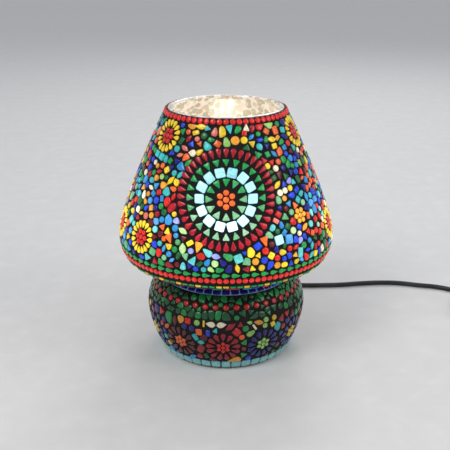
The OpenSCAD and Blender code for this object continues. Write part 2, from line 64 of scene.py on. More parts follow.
# ---------------------------------------------------------------- node materials
class Shader:
    """A small helper that builds one node material."""

    def __init__(self, name):
        self.mat = bpy.data.materials.new(name)
        self.mat.use_nodes = True
        self.tree = self.mat.node_tree
        self.tree.nodes.clear()
        self.out = self.add("ShaderNodeOutputMaterial")
        self.bsdf = self.add("ShaderNodeBsdfPrincipled")
        self.link(self.bsdf.outputs[0], self.out.inputs["Surface"])
        self.place = self.add("ShaderNodeTexCoord").outputs["Object"]

    def add(self, kind, **values):
        node = self.tree.nodes.new(kind)
        for key, value in values.items():
            if hasattr(node, key):
                setattr(node, key, value)
            else:
                node.inputs[key].default_value = value
        return node

    def link(self, a, b):
        self.tree.links.new(a, b)

    def set(self, **values):
        for key, value in values.items():
            self.bsdf.inputs[key.replace("_", " ")].default_value = value

    def noise(self, scale, detail=3.0, rough=0.55, distortion=0.0):
        node = self.add("ShaderNodeTexNoise", Scale=scale, Detail=detail, Roughness=rough,
                        Distortion=distortion)
        self.link(self.place, node.inputs["Vector"])
        return node.outputs["Fac"]

    def cells(self, scale):
        node = self.add("ShaderNodeTexVoronoi", Scale=scale)
        self.link(self.place, node.inputs["Vector"])
        return node

    def ramp(self, value, stops):
        node = self.add("ShaderNodeValToRGB")
        ramp = node.color_ramp
        while len(ramp.elements) < len(stops):
            ramp.elements.new(0.5)
        for element, (at, colour) in zip(ramp.elements, stops):
            element.position = at
            element.color = (*colour[:3], 1)
        self.link(value, node.inputs["Fac"])
        return node.outputs["Color"]

    def math(self, op, a, b=0.5, c=0.0, clamp=False):
        node = self.add("ShaderNodeMath", operation=op, use_clamp=clamp)
        for i, v in enumerate((a, b, c)):
            if hasattr(v, "is_linked"):
                self.link(v, node.inputs[i])
            else:
                node.inputs[i].default_value = v
        return node.outputs[0]

    def mix(self, fac, a, b, mode="MIX"):
        node = self.add("ShaderNodeMix", data_type="RGBA", blend_type=mode)
        for socket, v in zip((node.inputs[0], node.inputs[6], node.inputs[7]), (fac, a, b)):
            if hasattr(v, "is_linked"):
                self.link(v, socket)
            elif isinstance(v, (int, float)):
                socket.default_value = v
            else:
                socket.default_value = (*v[:3], 1)
        return node.outputs[2]

    def attribute(self, name):
        return self.add("ShaderNodeAttribute", attribute_name=name).outputs["Fac"]

    def bump(self, height, strength, distance):
        node = self.add("ShaderNodeBump", Strength=strength, Distance=distance)
        self.link(height, node.inputs["Height"])
        self.link(node.outputs[0], self.bsdf.inputs["Normal"])

    def colour(self, socket):
        self.link(socket, self.bsdf.inputs["Base Color"])


def srgb(r, g, b):
    """0 to 255 display values as linear colour."""
    return tuple((c / 255 / 12.92) if c <= 10 else ((c / 255 + 0.055) / 1.055) ** 2.4
                 for c in (r, g, b))


def scaled(colour, k):
    return tuple(min(1.0, c * k) for c in colour)


GLASS_BASE = (0.45, 0.45, 0.45)  # share of a piece's colour that plain light shows
GLARE_FROM = 0.78               # "lit" value above which pale glass washes out white: painted glare
GLARE_WHITE = (0.93, 1.0, 0.92)


def glass_material(name, colour, glow=1.0, rim_shade=0.32, glare=0.0):
    """Coloured art glass, swirled, darker at the rim of a piece and lighter in its middle (painted shade
    and a painted highlight), lit by the amount kept in each piece's "lit" value. Thin pale glass washes
    out white nearest the bulb: painted glare."""
    s = Shader(name)
    shaded_rim = scaled(colour, rim_shade)
    pale = tuple(min(1.0, c * 1.2 + 0.025) for c in colour)
    swirl = s.noise(420, 3.0, 0.6, 1.6)
    fine = s.noise(1500, 2.0, 0.5)
    body = s.ramp(swirl, [(0.3, scaled(colour, 0.72)), (0.52, colour), (0.72, pale)])
    core = s.attribute("core")
    # painted shade darkens the rim of each piece and a painted highlight lightens its middle
    body = s.mix(core, shaded_rim, body)
    s.colour(s.mix(1.0, body, GLASS_BASE, "MULTIPLY"))
    lit = s.attribute("lit")
    shining = body
    # painted glare: the middle of pale pieces shines white nearest the bulb
    if glare:
        glare_amount = s.math("MULTIPLY_ADD", lit, glare, -GLARE_FROM * glare, clamp=True)
        shining = s.mix(s.math("MULTIPLY", glare_amount, core), body, GLARE_WHITE)
    s.link(shining, s.bsdf.inputs["Emission Color"])
    level = s.math("MULTIPLY", lit, s.math("MULTIPLY_ADD", swirl, 1.1, 0.4))
    s.link(s.math("MULTIPLY", level, glow), s.bsdf.inputs["Emission Strength"])
    s.link(s.math("MULTIPLY_ADD", fine, 0.16, 0.12), s.bsdf.inputs["Roughness"])
    s.set(Coat_Weight=0.35, Coat_Roughness=0.08, Specular_IOR_Level=0.3)
    s.bump(s.mix(0.3, swirl, fine), 0.35, 0.0006)
    return s.mat


def grout_material():
    """Nearly black cement with fine grit."""
    s = Shader("grout_dark")
    grit = s.noise(2600, 5.0, 0.7)
    broad = s.noise(90, 3.0)
    tone = s.ramp(broad, [(0.35, srgb(6, 6, 7)), (0.7, srgb(16, 15, 16))])
    s.colour(s.mix(s.math("MULTIPLY", grit, 0.2), tone, srgb(40, 37, 36)))
    s.link(s.math("MULTIPLY_ADD", grit, 0.3, 0.6), s.bsdf.inputs["Roughness"])
    s.set(Specular_IOR_Level=0.25)
    s.bump(s.mix(0.35, grit, broad), 0.6, 0.0005)
    return s.mat


def blown_glass_material():
    """Cream glass lit from inside, with the round shadows of the pieces on its far side."""
    s = Shader("blown_cream_glass")
    spots = s.cells(185)
    tint = s.add("ShaderNodeSeparateColor")
    s.link(spots.outputs["Color"], tint.inputs[0])
    cream = srgb(255, 246, 236)
    spot = s.ramp(tint.outputs[0], [(0.0, srgb(132, 128, 84)), (0.22, srgb(168, 146, 104)),
                                    (0.4, srgb(148, 154, 104)), (0.6, srgb(206, 162, 138)),
                                    (0.78, srgb(158, 164, 128)), (1.0, srgb(222, 206, 176))])
    ring = s.ramp(spots.outputs["Distance"], [(0.0, (0.85,) * 3), (0.34, (0.75,) * 3),
                                              (0.46, (1,) * 3), (0.6, (0.25,) * 3), (0.8, (0,) * 3)])
    mottled = s.mix(ring, cream, spot)
    cloud = s.noise(60, 4.0)
    mottled = s.mix(s.math("MULTIPLY", cloud, 0.3), mottled, cream)
    s.colour(s.mix(1.0, mottled, (0.62,) * 3, "MULTIPLY"))
    s.link(mottled, s.bsdf.inputs["Emission Color"])
    s.link(s.math("MULTIPLY", s.attribute("lit"), s.math("MULTIPLY_ADD", cloud, 0.5, 0.7)),
           s.bsdf.inputs["Emission Strength"])
    s.set(Roughness=0.22, Coat_Weight=1.0, Coat_Roughness=0.11, Coat_IOR=2.0)
    s.bump(s.noise(110, 3.0), 0.12, 0.0006)
    return s.mat


def plain_material(name, colour, rough=0.5, wear=0.15, grain=900, bump=0.15, glow=0.0,
                   coat=0.0, alpha=1.0):
    """Moulded, pressed or fired parts: a tone that drifts a little, with a fine grain."""
    s = Shader(name)
    grain_fac = s.noise(grain, 4.0, 0.6)
    broad = s.noise(45, 2.0)
    light = tuple(min(1.0, c * (1 + wear) + 0.02) for c in colour)
    tone = s.ramp(s.mix(0.4, broad, grain_fac),
                  [(0.3, scaled(colour, 1 - wear)), (0.5, colour), (0.72, light)])
    s.colour(tone)
    s.link(s.math("ADD", s.math("MULTIPLY", grain_fac, 0.2), rough - 0.1, clamp=True),
           s.bsdf.inputs["Roughness"])
    s.bump(grain_fac, bump, 0.0003)
    s.set(Coat_Weight=coat, Alpha=alpha)
    if glow:
        s.link(tone, s.bsdf.inputs["Emission Color"])
        s.set(Emission_Strength=glow)
    return s.mat


def drawn_material(name, colour, rough=0.3):
    """Metal with turning lines."""
    s = Shader(name)
    wave = s.add("ShaderNodeTexWave", Scale=900, Distortion=1.5, Detail=2.0)
    wave.bands_direction = "Z"
    s.link(s.place, wave.inputs["Vector"])
    lines = wave.outputs["Fac"]
    s.colour(s.mix(s.noise(200, 3.0), scaled(colour, 0.8), colour))
    s.link(s.math("MULTIPLY_ADD", lines, 0.12, rough), s.bsdf.inputs["Roughness"])
    s.set(Metallic=1.0)
    s.bump(lines, 0.1, 0.0001)
    return s.mat


# ---------------------------------------------------------------- cord
cord_black = plain_material("cord_sheath", srgb(20, 20, 21), 0.42, grain=2400, bump=0.08)


def curve_object(name, points, radius, material):
    """A round cord through points in millimetres."""
    data = bpy.data.curves.new(name, "CURVE")
    data.dimensions = "3D"
    data.bevel_depth = radius * MM
    data.bevel_resolution = 5
    data.use_fill_caps = True
    data.resolution_u = 6
    spline = data.splines.new("BEZIER")
    spline.bezier_points.add(len(points) - 1)
    for knot, p in zip(spline.bezier_points, points):
        knot.co = [c * MM for c in p]
        knot.handle_left_type = knot.handle_right_type = "AUTO"
    obj = bpy.data.objects.new(name, data)
    scene.collection.objects.link(obj)
    data.materials.append(material)
    return obj


CORD_RADIUS = 2.5
CORD_Z = 2.62  # height of the middle of a cord that lies on the floor
lead_route = [(0, 93.9, 9.9), (0.6, 101, 6.2), (4, 110, 3.4), (11, 118, CORD_Z),
              (24, 123.4, CORD_Z), (44, 124, CORD_Z), (66, 122, CORD_Z), (88, 121.4, CORD_Z),
              (110, 121.6, CORD_Z), (132, 123, CORD_Z), (154, 126.4, CORD_Z),
              (176, 128.6, CORD_Z), (198, 127.6, CORD_Z), (220, 121.8, CORD_Z),
              (240, 116.8, CORD_Z), (255, 109, CORD_Z), (265, 97, 3.4), (269.4, 87, 5.8),
              (270, 78, 7)]
mid_route = [(270, 50, 7), (270, 26, 7), (269.8, 9, 4.4), (269.4, -4, 2.9), (268.6, -16, 3)]
COIL = (305, -30)
COIL_OUT, COIL_IN, COIL_LOW, COIL_HIGH = 36.4, 21.4, 3.4, 8.6
KNOTS = 14  # points in one turn of the coil


def coil_route():
    """Three turns inwards on the floor, half a turn up, three turns outwards on top."""
    points = []
    for i in range(3 * KNOTS + 1):
        points.append((math.pi + i / KNOTS * TAU, COIL_OUT + (COIL_IN - COIL_OUT) * i / 3 / KNOTS,
                       COIL_LOW))
    for i in range(1, KNOTS // 2):
        up = 0.5 - 0.5 * math.cos(math.pi * i / (KNOTS / 2))
        points.append((math.pi + (3 + i / KNOTS) * TAU, COIL_IN, COIL_LOW + (COIL_HIGH - COIL_LOW) * up))
    for i in range(3 * KNOTS + 1):
        points.append((i / KNOTS * TAU, COIL_IN + (COIL_OUT - COIL_IN) * i / 3 / KNOTS, COIL_HIGH))
    return [(COIL[0] + r * math.cos(a), COIL[1] + r * math.sin(a), z) for a, r, z in points]


end_route = [(342, -18, 7.2), (341.4, -6, 5.4), (338.6, 8, 5.6), (336, 20, 6.6), (335, 30, 7),
             (335, 47, 7)]
cord_points = lead_route + mid_route + coil_route() + end_route
cord_length = sum(math.dist(a, b) for a, b in zip(cord_points, cord_points[1:])) * MM
power_cord = curve_object("power_cord", cord_points, CORD_RADIUS, cord_black)
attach(power_cord, "lamp")
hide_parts("cord_lead", "cord_mid", "cord_coil", "cord_end")

# ---------------------------------------------------------------- the wall of the lamp
# Bezier curves of the outer face as (radius, height), from the mouth down to the foot
CURVES = [[(54.7, 235), (70.9, 201.6), (100.9, 136), (100.9, 117)],
          [(100.9, 117), (100.9, 104.9), (96.9, 91.6), (82, 92)],
          [(82, 92), (66, 91), (52, 91.5), (52, 86.5)],
          [(52, 86.5), (52, 82), (75.9, 72), (75.9, 46)],
          [(75.9, 46), (75.9, 30), (67, 10), (61.5, 0)]]
# depth below the outer face of the grout and of the two faces of the blown glass
GROUT, GLASS_OUT, GLASS_IN = 1.0, 2.6, 5.4


def wall_points(steps=400):
    t = np.linspace(0, 1, steps, endpoint=False)[:, None]
    parts = []
    for c in CURVES:
        c = np.array(c, float)
        parts.append((1 - t) ** 3 * c[0] + 3 * (1 - t) ** 2 * t * c[1] + 3 * (1 - t) * t * t * c[2]
                     + t ** 3 * c[3])
    parts.append(np.array([CURVES[-1][-1]], float))
    return np.concatenate(parts)


raw = wall_points()
raw_s = np.concatenate([[0], np.cumsum(np.linalg.norm(np.diff(raw, axis=0), axis=1))])
WALL_END = float(raw_s[-1])
S = np.arange(0, WALL_END, 0.1)
R = np.interp(S, raw_s, raw[:, 0])
Z = np.interp(S, raw_s, raw[:, 1])
slope = np.stack([np.gradient(R, S), np.gradient(Z, S)], 1)
NR, NZ = -slope[:, 1], slope[:, 0]
NORM = np.hypot(NR, NZ)
NR, NZ = NR / NORM, NZ / NORM


def radius_at(s):
    return R[min(max(int(s * 10), 0), len(R) - 1)]


def s_at_height(z, low, high):
    """Arc length of a height, looked for between two arc lengths."""
    window = range(int(low * 10), int(high * 10))
    return min(window, key=lambda i: abs(Z[i] - z)) / 10


def on_wall(s, az, h):
    """Arrays of arc length, azimuth in radians and height over the wall, as metres."""
    s, az, h = (np.asarray(v, float) for v in (s, az, h))
    r, z = np.interp(s, S, R), np.interp(s, S, Z)
    nr, nz = np.interp(s, S, NR), np.interp(s, S, NZ)
    r, z = r + nr * h, z + nz * h
    return np.stack([r * np.sin(az), -r * np.cos(az), z], -1) * MM


BULB_Z = 128.0
SHADE_END = s_at_height(86.5, 185, 200)  # the neck, where the bowl begins
EDGE_END = 150                           # from here to the neck the wall faces down
BOWL_LOW = 268                           # below it the bowl draws in and is lit through the foot


def light_at(s):
    """How strongly the bulb lights the wall there, 1 at the brightest."""
    z = Z[min(max(int(s * 10), 0), len(Z) - 1)]
    if s > SHADE_END:
        return 0.07 + 0.1 * min(1.0, max(0.0, (s - BOWL_LOW) / 16))
    if s > EDGE_END:
        return 0.3
    return 0.52 + 0.46 * math.exp(-((z - 144) / 38) ** 2)


class Pieces:
    """Domed glass pieces that end up as one mesh."""

    # rings of a piece from its hidden foot to its top: (scale of the outline, height over the
    # wall, how near to the middle for the painted rim shade and middle highlight of the material)
    ROUND = ((1.0, -1.5, 0.0), (1.0, -0.8, 0.1), (0.92, -0.34, 0.55), (0.7, -0.08, 0.95))
    FLAT = ((1.0, -1.5, 0.0), (1.0, -0.62, 0.15), (0.93, -0.22, 0.6), (0.8, -0.06, 0.95))

    def __init__(self):
        self.s, self.a, self.h = [], [], []
        self.core, self.lit, self.faces = [], [], []
        self.count = 0

    def add(self, s0, az, outline, lit=1.0, form=FLAT):
        """outline: points to the right and up the wall in mm, anticlockwise seen from outside."""
        n = len(outline)
        cu = sum(p[0] for p in outline) / n
        cv = sum(p[1] for p in outline) / n
        base = len(self.s)
        for scale, h, core in form:
            for u, v in outline:
                pu, pv = cu + (u - cu) * scale, cv + (v - cv) * scale
                s = s0 - pv
                self.s.append(s)
                self.a.append(az + pu / radius_at(s))
                self.h.append(h)
                self.core.append(core)
        self.s.append(s0 - cv)
        self.a.append(az + cu / radius_at(s0 - cv))
        self.h.append(0.0)
        self.core.append(1.0)
        level = light_at(s0 - cv) * lit
        self.lit += [level] * (n * len(form) + 1)
        top = base + n * len(form)
        for ring in range(len(form) - 1):
            for i in range(n):
                j = (i + 1) % n
                a = base + ring * n
                self.faces.append((a + i, a + j, a + n + j, a + n + i))
        a = base + (len(form) - 1) * n
        for i in range(n):
            self.faces.append((a + i, a + (i + 1) % n, top))
        self.count += 1

    def make(self, name, material, slot, *replaced):
        mesh = bpy.data.meshes.new(name)
        mesh.from_pydata(on_wall(self.s, self.a, self.h).tolist(), [], self.faces)
        for key, values in (("core", self.core), ("lit", self.lit)):
            layer = mesh.attributes.new(key, "FLOAT", "POINT")
            layer.data.foreach_set("value", values)
        mesh.shade_smooth()
        mesh.update()
        finish_piece(name, mesh, material, slot, *replaced)


def finish_piece(name, mesh, material, slot, *replaced):
    """Puts a mesh on the lamp with its material and hides the CAD nodes it stands for. The slot argument
    is not used.
    """
    obj = bpy.data.objects.new(name, mesh)
    scene.collection.objects.link(obj)
    mesh.materials.append(material)
    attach(obj, "lamp")
    if replaced:
        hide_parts(*replaced)


# ---------------------------------------------------------------- outlines, in millimetres
def disc(r, n=14):
    return [(r * math.cos(TAU * i / n), r * math.sin(TAU * i / n)) for i in range(n)]


def soften(outline, rounds=2, cut=0.22):
    """Cuts the corners of an outline, as a nipped and tumbled piece of glass has them."""
    for _ in range(rounds):
        new = []
        for (x0, y0), (x1, y1) in zip(outline, outline[1:] + outline[:1]):
            new.append((x0 + (x1 - x0) * cut, y0 + (y1 - y0) * cut))
            new.append((x1 + (x0 - x1) * cut, y1 + (y0 - y1) * cut))
        outline = new
    return outline


def square(w, h):
    return soften([(w / 2, -h / 2), (w / 2, h / 2), (-w / 2, h / 2), (-w / 2, -h / 2)], 2, 0.1)


def triangle(w, h):
    """Point down the wall."""
    return soften([(0, -h / 2), (w / 2, h / 2), (-w / 2, h / 2)], 2, 0.12)


def teardrop(w, h):
    """Point down, round end up."""
    arc = [(w / 2 * math.cos(a), h / 2 - w / 2 + w / 2 * math.sin(a))
           for a in (math.radians(-20 + 220 * i / 8) for i in range(9))]
    return soften(arc + [(-0.28, -h / 2 + 0.2), (0.28, -h / 2 + 0.2)], 1, 0.2)


def almond(w, h):
    """Pointed at both ends."""
    side = [(w / 2 * math.sin(math.pi * i / 6), -h / 2 + h * i / 6) for i in range(6)]
    return side + [(-x, -y) for x, y in side]


def leaf(w, h):
    """Pointed at both ends and widest below its middle."""
    side = [(w / 2 * math.sin(math.pi * (i / 6) ** 0.75), -h / 2 + h * i / 6) for i in range(7)]
    return side + [(-x, y) for x, y in reversed(side[1:6])]


def turned(outline, angle):
    c, s = math.cos(angle), math.sin(angle)
    return [(c * x - s * y, s * x + c * y) for x, y in outline]


def moved(outline, du, dv):
    return [(x + du, y + dv) for x, y in outline]


rng = random.Random(7)


def uneven(outline, amount=0.05):
    """The same outline with the small faults of a hand-cut piece."""
    a, b = rng.uniform(1 - amount, 1 + amount), rng.uniform(1 - amount, 1 + amount)
    c = rng.uniform(-amount, amount)
    return [(x * a + y * c, y * b) for x, y in outline]


DRIFT = 0.12  # how far the light of one piece strays from its neighbours'


def wreath(pieces, s0, az, r, count, outline, first=0.0, lit=1.0, form=Pieces.FLAT):
    """count pieces in a circle round (s0, az), each with its own up pointing outwards."""
    for i in range(count):
        a = first + TAU * i / count
        shape = turned(uneven(outline), a - math.pi / 2 + rng.uniform(-0.05, 0.05))
        pieces.add(s0, az, moved(shape, r * math.cos(a), r * math.sin(a)),
                   lit * rng.uniform(1 - DRIFT, 1 + DRIFT), form)


def row(pieces, s0, count, outline, turn=0.0, lit=1.0, form=Pieces.FLAT, drift=DRIFT):
    """count pieces in a level row all round the wall."""
    for i in range(count):
        shape = turned(uneven(outline), turn + rng.uniform(-0.06, 0.06))
        pieces.add(s0 + rng.uniform(-0.12, 0.12), TAU * i / count, shape,
                   lit * rng.uniform(1 - drift, 1 + drift), form)


# ---------------------------------------------------------------- colours of the glass
RED, CRIMSON, MAROON = srgb(218, 30, 22), srgb(170, 12, 32), srgb(104, 10, 16)
ORANGE, AMBER, YELLOW = srgb(250, 106, 36), srgb(250, 168, 46), srgb(252, 212, 40)
CREAM, LIME, GREEN = srgb(252, 240, 206), srgb(160, 212, 110), srgb(18, 156, 74)
FOREST, TURQUOISE, SKY = srgb(10, 96, 44), srgb(60, 196, 196), srgb(38, 146, 214)
ROYAL, NAVY, LAVENDER = srgb(24, 64, 208), srgb(14, 20, 128), srgb(150, 156, 236)
PINK, ICE, AQUA = srgb(240, 124, 108), srgb(140, 214, 228), srgb(124, 190, 194)

# name: (colour, record slot, weight on the shade, weight on the bowl)
FAMILIES = {
    "red": (RED, "red_glass", 12, 9),
    "crimson": (CRIMSON, "crimson_glass", 7, 12),
    "maroon": (MAROON, "crimson_glass", 4, 18),
    "orange": (ORANGE, "orange_glass", 9, 4),
    "amber": (AMBER, "orange_glass", 6, 1),
    "yellow": (YELLOW, "yellow_glass", 8, 3),
    "cream": (CREAM, "white_glass", 4, 1),
    "lime": (LIME, "green_glass", 3, 2),
    "green": (GREEN, "green_glass", 12, 8),
    "forest": (FOREST, "green_glass", 7, 12),
    "turquoise": (TURQUOISE, "aqua_glass", 9, 2),
    "sky": (SKY, "blue_glass", 12, 2),
    "royal": (ROYAL, "blue_glass", 10, 6),
    "navy": (NAVY, "blue_glass", 6, 12),
    "lavender": (LAVENDER, "blue_glass", 1, 0),
    "pink": (PINK, "orange_glass", 2, 0),
}
ON_SHADE, ON_BOWL = 2, 3  # places of the two weights
SLOTS = {name: values[1] for name, values in FAMILIES.items()}
SLOTS.update(ice="white_glass", aqua="aqua_glass")
# strength of the painted glare that whitens the middle of pale pieces nearest the bulb
GLARE = {"green": 1.1, "lime": 0.8, "cream": 1.0, "turquoise": 0.5, "sky": 0.25}
glass = {name: glass_material("glass_" + name, values[0], glare=GLARE.get(name, 0.0))
         for name, values in FAMILIES.items()}
glass["ice"] = glass_material("glass_ice", ICE, 1.15, 0.6, 0.9)
glass["aqua"] = glass_material("glass_aqua", AQUA, 1.0, 0.6)

# ---------------------------------------------------------------- rows and figures
MANDALA_AZ = [0, TAU / 3, -TAU / 3]
MANDALA_S = 68.6
SUN_HIGH = [(20.5, math.radians(a)) for a in (-53, 71, 187)]
SUN_LOW = [(111.5, math.radians(a)) for a in (-49.5, -77, 75, 165, 193)]
SUNS = SUN_HIGH + SUN_LOW
DOT_FLOWER = (90, math.radians(45))
FLOWER_S = s_at_height(28, 250, 275)
FLOWER_AZ = [math.radians(a) for a in (-35, -2, 28, 57.5, 91.5, 125.5, 160, 200, 231, 262.5, 294)]
RIM_S = 3.1
DROP_S = s_at_height(110.9, 125, 145)
BEAD_S = s_at_height(105.3, 130, 150)
EDGE_S = s_at_height(98.2, 140, 155)
SKY_S = s_at_height(81.2, 198, 212)
BLUE_S = s_at_height(78, 200, 216)
DOT_S = s_at_height(67, 212, 228)
FOOT_S = s_at_height(6, 275, 291)
EDGE_COUNT, DOT_COUNT = 100, 46

rim = Pieces()
row(rim, RIM_S, 62, disc(2.62), lit=1.25, form=Pieces.ROUND)
rim.make("rim_beads", glass["red"], "red_glass", "top_rim_beads")

orange_beads, inner_points = Pieces(), Pieces()
ice_squares, outer_points, crimson_drops = Pieces(), Pieces(), Pieces()
for az in MANDALA_AZ:
    orange_beads.add(MANDALA_S, az, disc(2.7), 1.15, Pieces.ROUND)
    wreath(orange_beads, MANDALA_S, az, 5.95, 6, disc(2.62), math.pi / 2, 1.15, Pieces.ROUND)
    wreath(inner_points, MANDALA_S, az, 13.9, 12, triangle(7.2, 7.6), lit=1.15)
    wreath(ice_squares, MANDALA_S, az, 22.9, 14, square(8.2, 8.4), lit=1.5)
    wreath(outer_points, MANDALA_S, az, 30.7, 24, triangle(6.9, 7.0), lit=1.1)
    wreath(crimson_drops, MANDALA_S, az, 39.2, 40, teardrop(4.9, 8.7), lit=1.1)
orange_beads.make("mandala_dots", glass["orange"], "orange_glass", "mandala_orange_beads")
inner_points.make("mandala_star", glass["green"], "green_glass", "mandala_inner_triangles")
ice_squares.make("mandala_pale_squares", glass["ice"], "white_glass", "mandala_squares")
outer_points.make("mandala_outer_star", glass["green"], "green_glass", "mandala_outer_triangles")
crimson_drops.make("mandala_drops", glass["crimson"], "crimson_glass", "mandala_red_drops")

petals, hearts = Pieces(), Pieces()
for s0, az in SUNS:
    hearts.add(s0, az, disc(2.4), 1.0, Pieces.ROUND)
    wreath(hearts, s0, az, 5.15, 6, disc(2.4), form=Pieces.ROUND)
    wreath(petals, s0, az, 11.4, 16, teardrop(4.2, 6.8), lit=1.2)
petals.make("sunflower_rays", glass["yellow"], "yellow_glass", "sunflower_petals")
hearts.make("sunflower_hearts", glass["red"], "red_glass", "sunflower_beads")

dot_flower = Pieces()
dot_flower.add(*DOT_FLOWER, disc(2.3), 1.2, Pieces.ROUND)
wreath(dot_flower, *DOT_FLOWER, 4.9, 6, disc(2.3), lit=1.2, form=Pieces.ROUND)
dot_flower.make("amber_dot_flower", glass["amber"], "orange_glass")

drops, beads, edge_green, edge_yellow = Pieces(), Pieces(), Pieces(), Pieces()
row(drops, DROP_S, 75, teardrop(4.5, 7.5), math.pi / 2, 1.0)
row(beads, BEAD_S, 114, disc(2.6), lit=1.35, form=Pieces.ROUND)
drops.make("edge_drops", glass["green"], "green_glass", "shade_green_drops")
beads.make("edge_beads", glass["red"], "orange_glass", "shade_red_beads")
for i in range(EDGE_COUNT):
    target = edge_yellow if i % 3 == 0 else edge_green
    target.add(EDGE_S, TAU * i / EDGE_COUNT, uneven(square(5.0, 2.3)), rng.uniform(0.6, 1.1))
edge_green.make("edge_green_strips", glass["green"], "green_glass", "shade_edge_pieces")
edge_yellow.make("edge_yellow_strips", glass["yellow"], "yellow_glass")

sky_line, blue_row, dot_row = Pieces(), Pieces(), Pieces()
row(sky_line, SKY_S, 58, square(5.8, 2.6), lit=1.5)
row(blue_row, BLUE_S, 46, square(7.1, 5.2), lit=1.6)
row(dot_row, DOT_S, DOT_COUNT, disc(2.85), lit=1.9, form=Pieces.ROUND)
sky_line.make("shoulder_line", glass["sky"], "blue_glass")
blue_row.make("shoulder_blue_row", glass["navy"], "blue_glass", "bowl_blue_squares")
dot_row.make("bowl_dot_row", glass["red"], "red_glass", "bowl_red_beads")

# flowers of the bowl: (petals, hearts), in the order that they stand round it
LOOKS = [("maroon", "orange"), ("crimson", "red"), ("navy", "lime"), ("navy", "yellow"),
         ("crimson", "orange"), ("forest", "red"), ("maroon", "yellow"), ("navy", "orange"),
         ("crimson", "lime"), ("maroon", "orange"), ("navy", "yellow")]
flower_petals = {name: Pieces() for name, _ in LOOKS}
flower_hearts = {name: Pieces() for _, name in LOOKS}
for az, (petal, heart) in zip(FLOWER_AZ, LOOKS):
    wreath(flower_petals[petal], FLOWER_S, az, 11.9, 13, teardrop(5.0, 8.6), math.pi / 2, 0.9)
    flower_hearts[heart].add(FLOWER_S, az, disc(2.15), 2.4, Pieces.ROUND)
    wreath(flower_hearts[heart], FLOWER_S, az, 4.75, 6, leaf(4.3, 5.0), math.pi / 2, 2.4,
           Pieces.ROUND)
for name, made in flower_petals.items():
    made.make("flower_petals_" + name, glass[name], SLOTS[name], "bowl_flower_petals")
for name, made in flower_hearts.items():
    made.make("flower_hearts_" + name, glass[name], SLOTS[name], "bowl_flower_beads")

foot = Pieces()
row(foot, FOOT_S, 43, square(8.7, 7.9), lit=1.6, drift=0.2)
foot.make("foot_row", glass["aqua"], "aqua_glass", "foot_squares")


# ---------------------------------------------------------------- loose pieces between them
MIN_AREA = 4  # square mm; no smaller piece is cut


